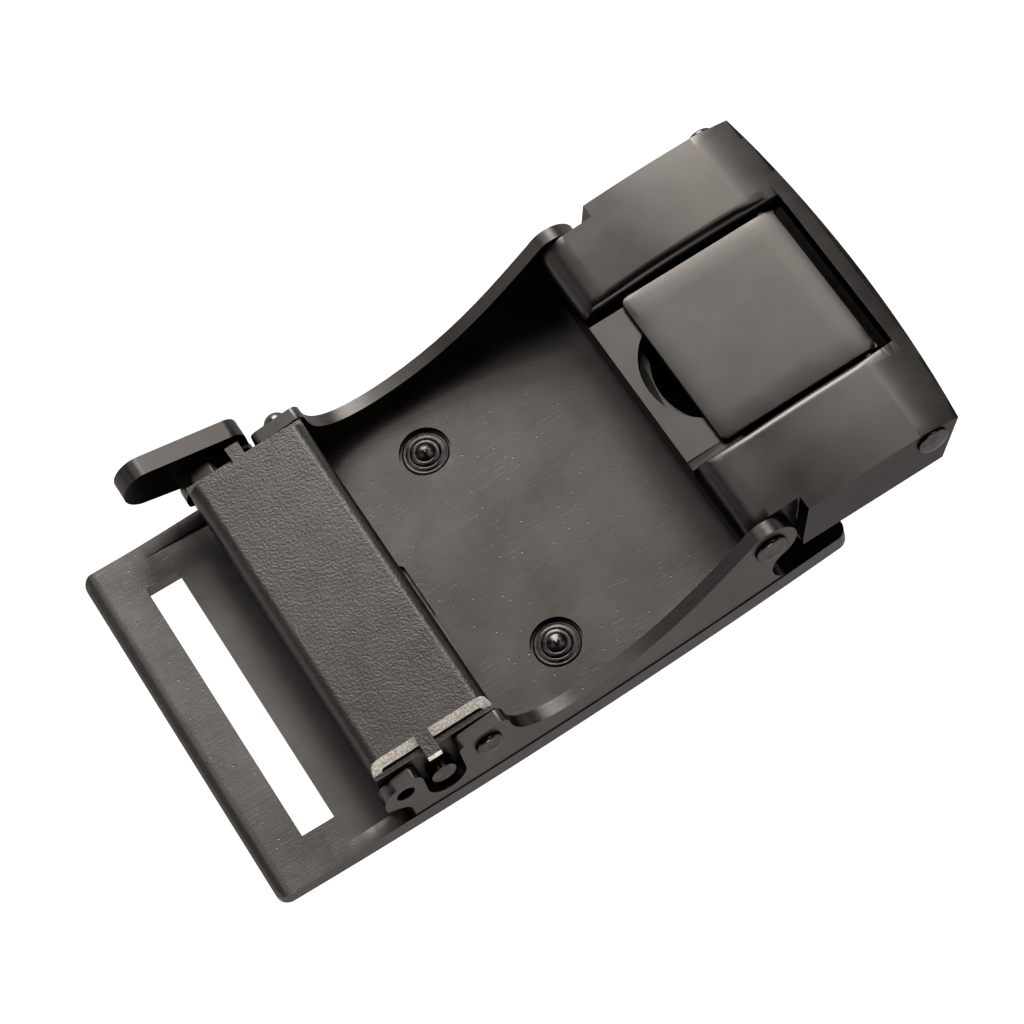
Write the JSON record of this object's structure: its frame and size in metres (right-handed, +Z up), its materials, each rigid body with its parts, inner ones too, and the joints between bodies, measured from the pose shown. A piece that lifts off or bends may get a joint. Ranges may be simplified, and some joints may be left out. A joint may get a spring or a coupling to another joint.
{
  "type": "belt buckle",
  "caption": "Automatic belt buckle: bowed face frame, sprung pawl under a pressed cover, side release lever, and a swivelling strap clamp with a hinged press plate.",
  "frame": {"origin": "centre of the footprint, on the surface the buckle's bowed front lies on", "axes": "+X along the belt from the window end to the clamp end, +Y across the belt towards the release lever, +Z up out of the back of the buckle"},
  "size_m": [0.0782, 0.0432, 0.0139],
  "materials": {
    "frame_gunmetal": "gun-metal plating, satin",
    "panel_gunmetal": "gun-metal plating, satin, brushed along the belt",
    "clamp_gunmetal": "gun-metal plating, satin",
    "press_gunmetal": "gun-metal plating, satin",
    "lever_gunmetal": "gun-metal plating, satin",
    "housing_blasted": "gun-metal plating over a shot-blasted surface",
    "rivet_steel": "gun-metal plating, satin",
    "stud_steel": "gun-metal plating, satin",
    "pin_steel": "gun-metal plating, satin",
    "pawl_steel": "gun-metal plating, satin",
    "spring_steel": "bright drawn wire"
  },
  "bodies": {
    "frame": {"face_frame": "frame_gunmetal", "front_panel": "panel_gunmetal", "panel_stud_far": "stud_steel", "panel_stud_near": "stud_steel", "pawl_housing": "housing_blasted", "housing_rivet_far": "rivet_steel", "housing_rivet_near": "rivet_steel", "pawl_pin": "pin_steel", "pawl_spring": "spring_steel", "clamp_rivet_far": "rivet_steel", "clamp_rivet_near": "rivet_steel"},
    "clamp": {"clamp_body": "clamp_gunmetal", "press_plate_pin": "rivet_steel"},
    "press": {"press_plate": "press_gunmetal"},
    "lever": {"release_lever": "lever_gunmetal", "release_spindle": "pin_steel"},
    "pawl": {"pawl": "pawl_steel"}
  },
  "joints": [
    {"name": "clamp_swivel", "type": "hinge", "parent": "frame", "child": "clamp", "pos_m": [0.01674, -0.00095, 0.00934], "axis": [0, -1, 0], "range_deg": [-8, 70]},
    {"name": "press_plate_hinge", "type": "hinge", "parent": "clamp", "child": "press", "pos_m": [0.03473, -0.00095, 0.00958], "axis": [0, 1, 0], "range_deg": [0, 90]},
    {"name": "release_lever_press", "type": "hinge", "parent": "frame", "child": "lever", "pos_m": [-0.01976, -0.00095, 0.00682], "axis": [0, -1, 0], "range_deg": [0, 28], "stiffness_Nm_per_rad": 0.05, "springref_deg": -8.59},
    {"name": "pawl_lift", "type": "hinge", "parent": "frame", "child": "pawl", "pos_m": [-0.02378, -0.00095, 0.00845], "axis": [0, -1, 0], "range_deg": [0, 5.4], "deforming": ["pawl_spring"]}
  ],
  "couplings": [
    {"joint": "pawl_lift", "follows": "release_lever_press", "ratio": 0.19}
  ]
}
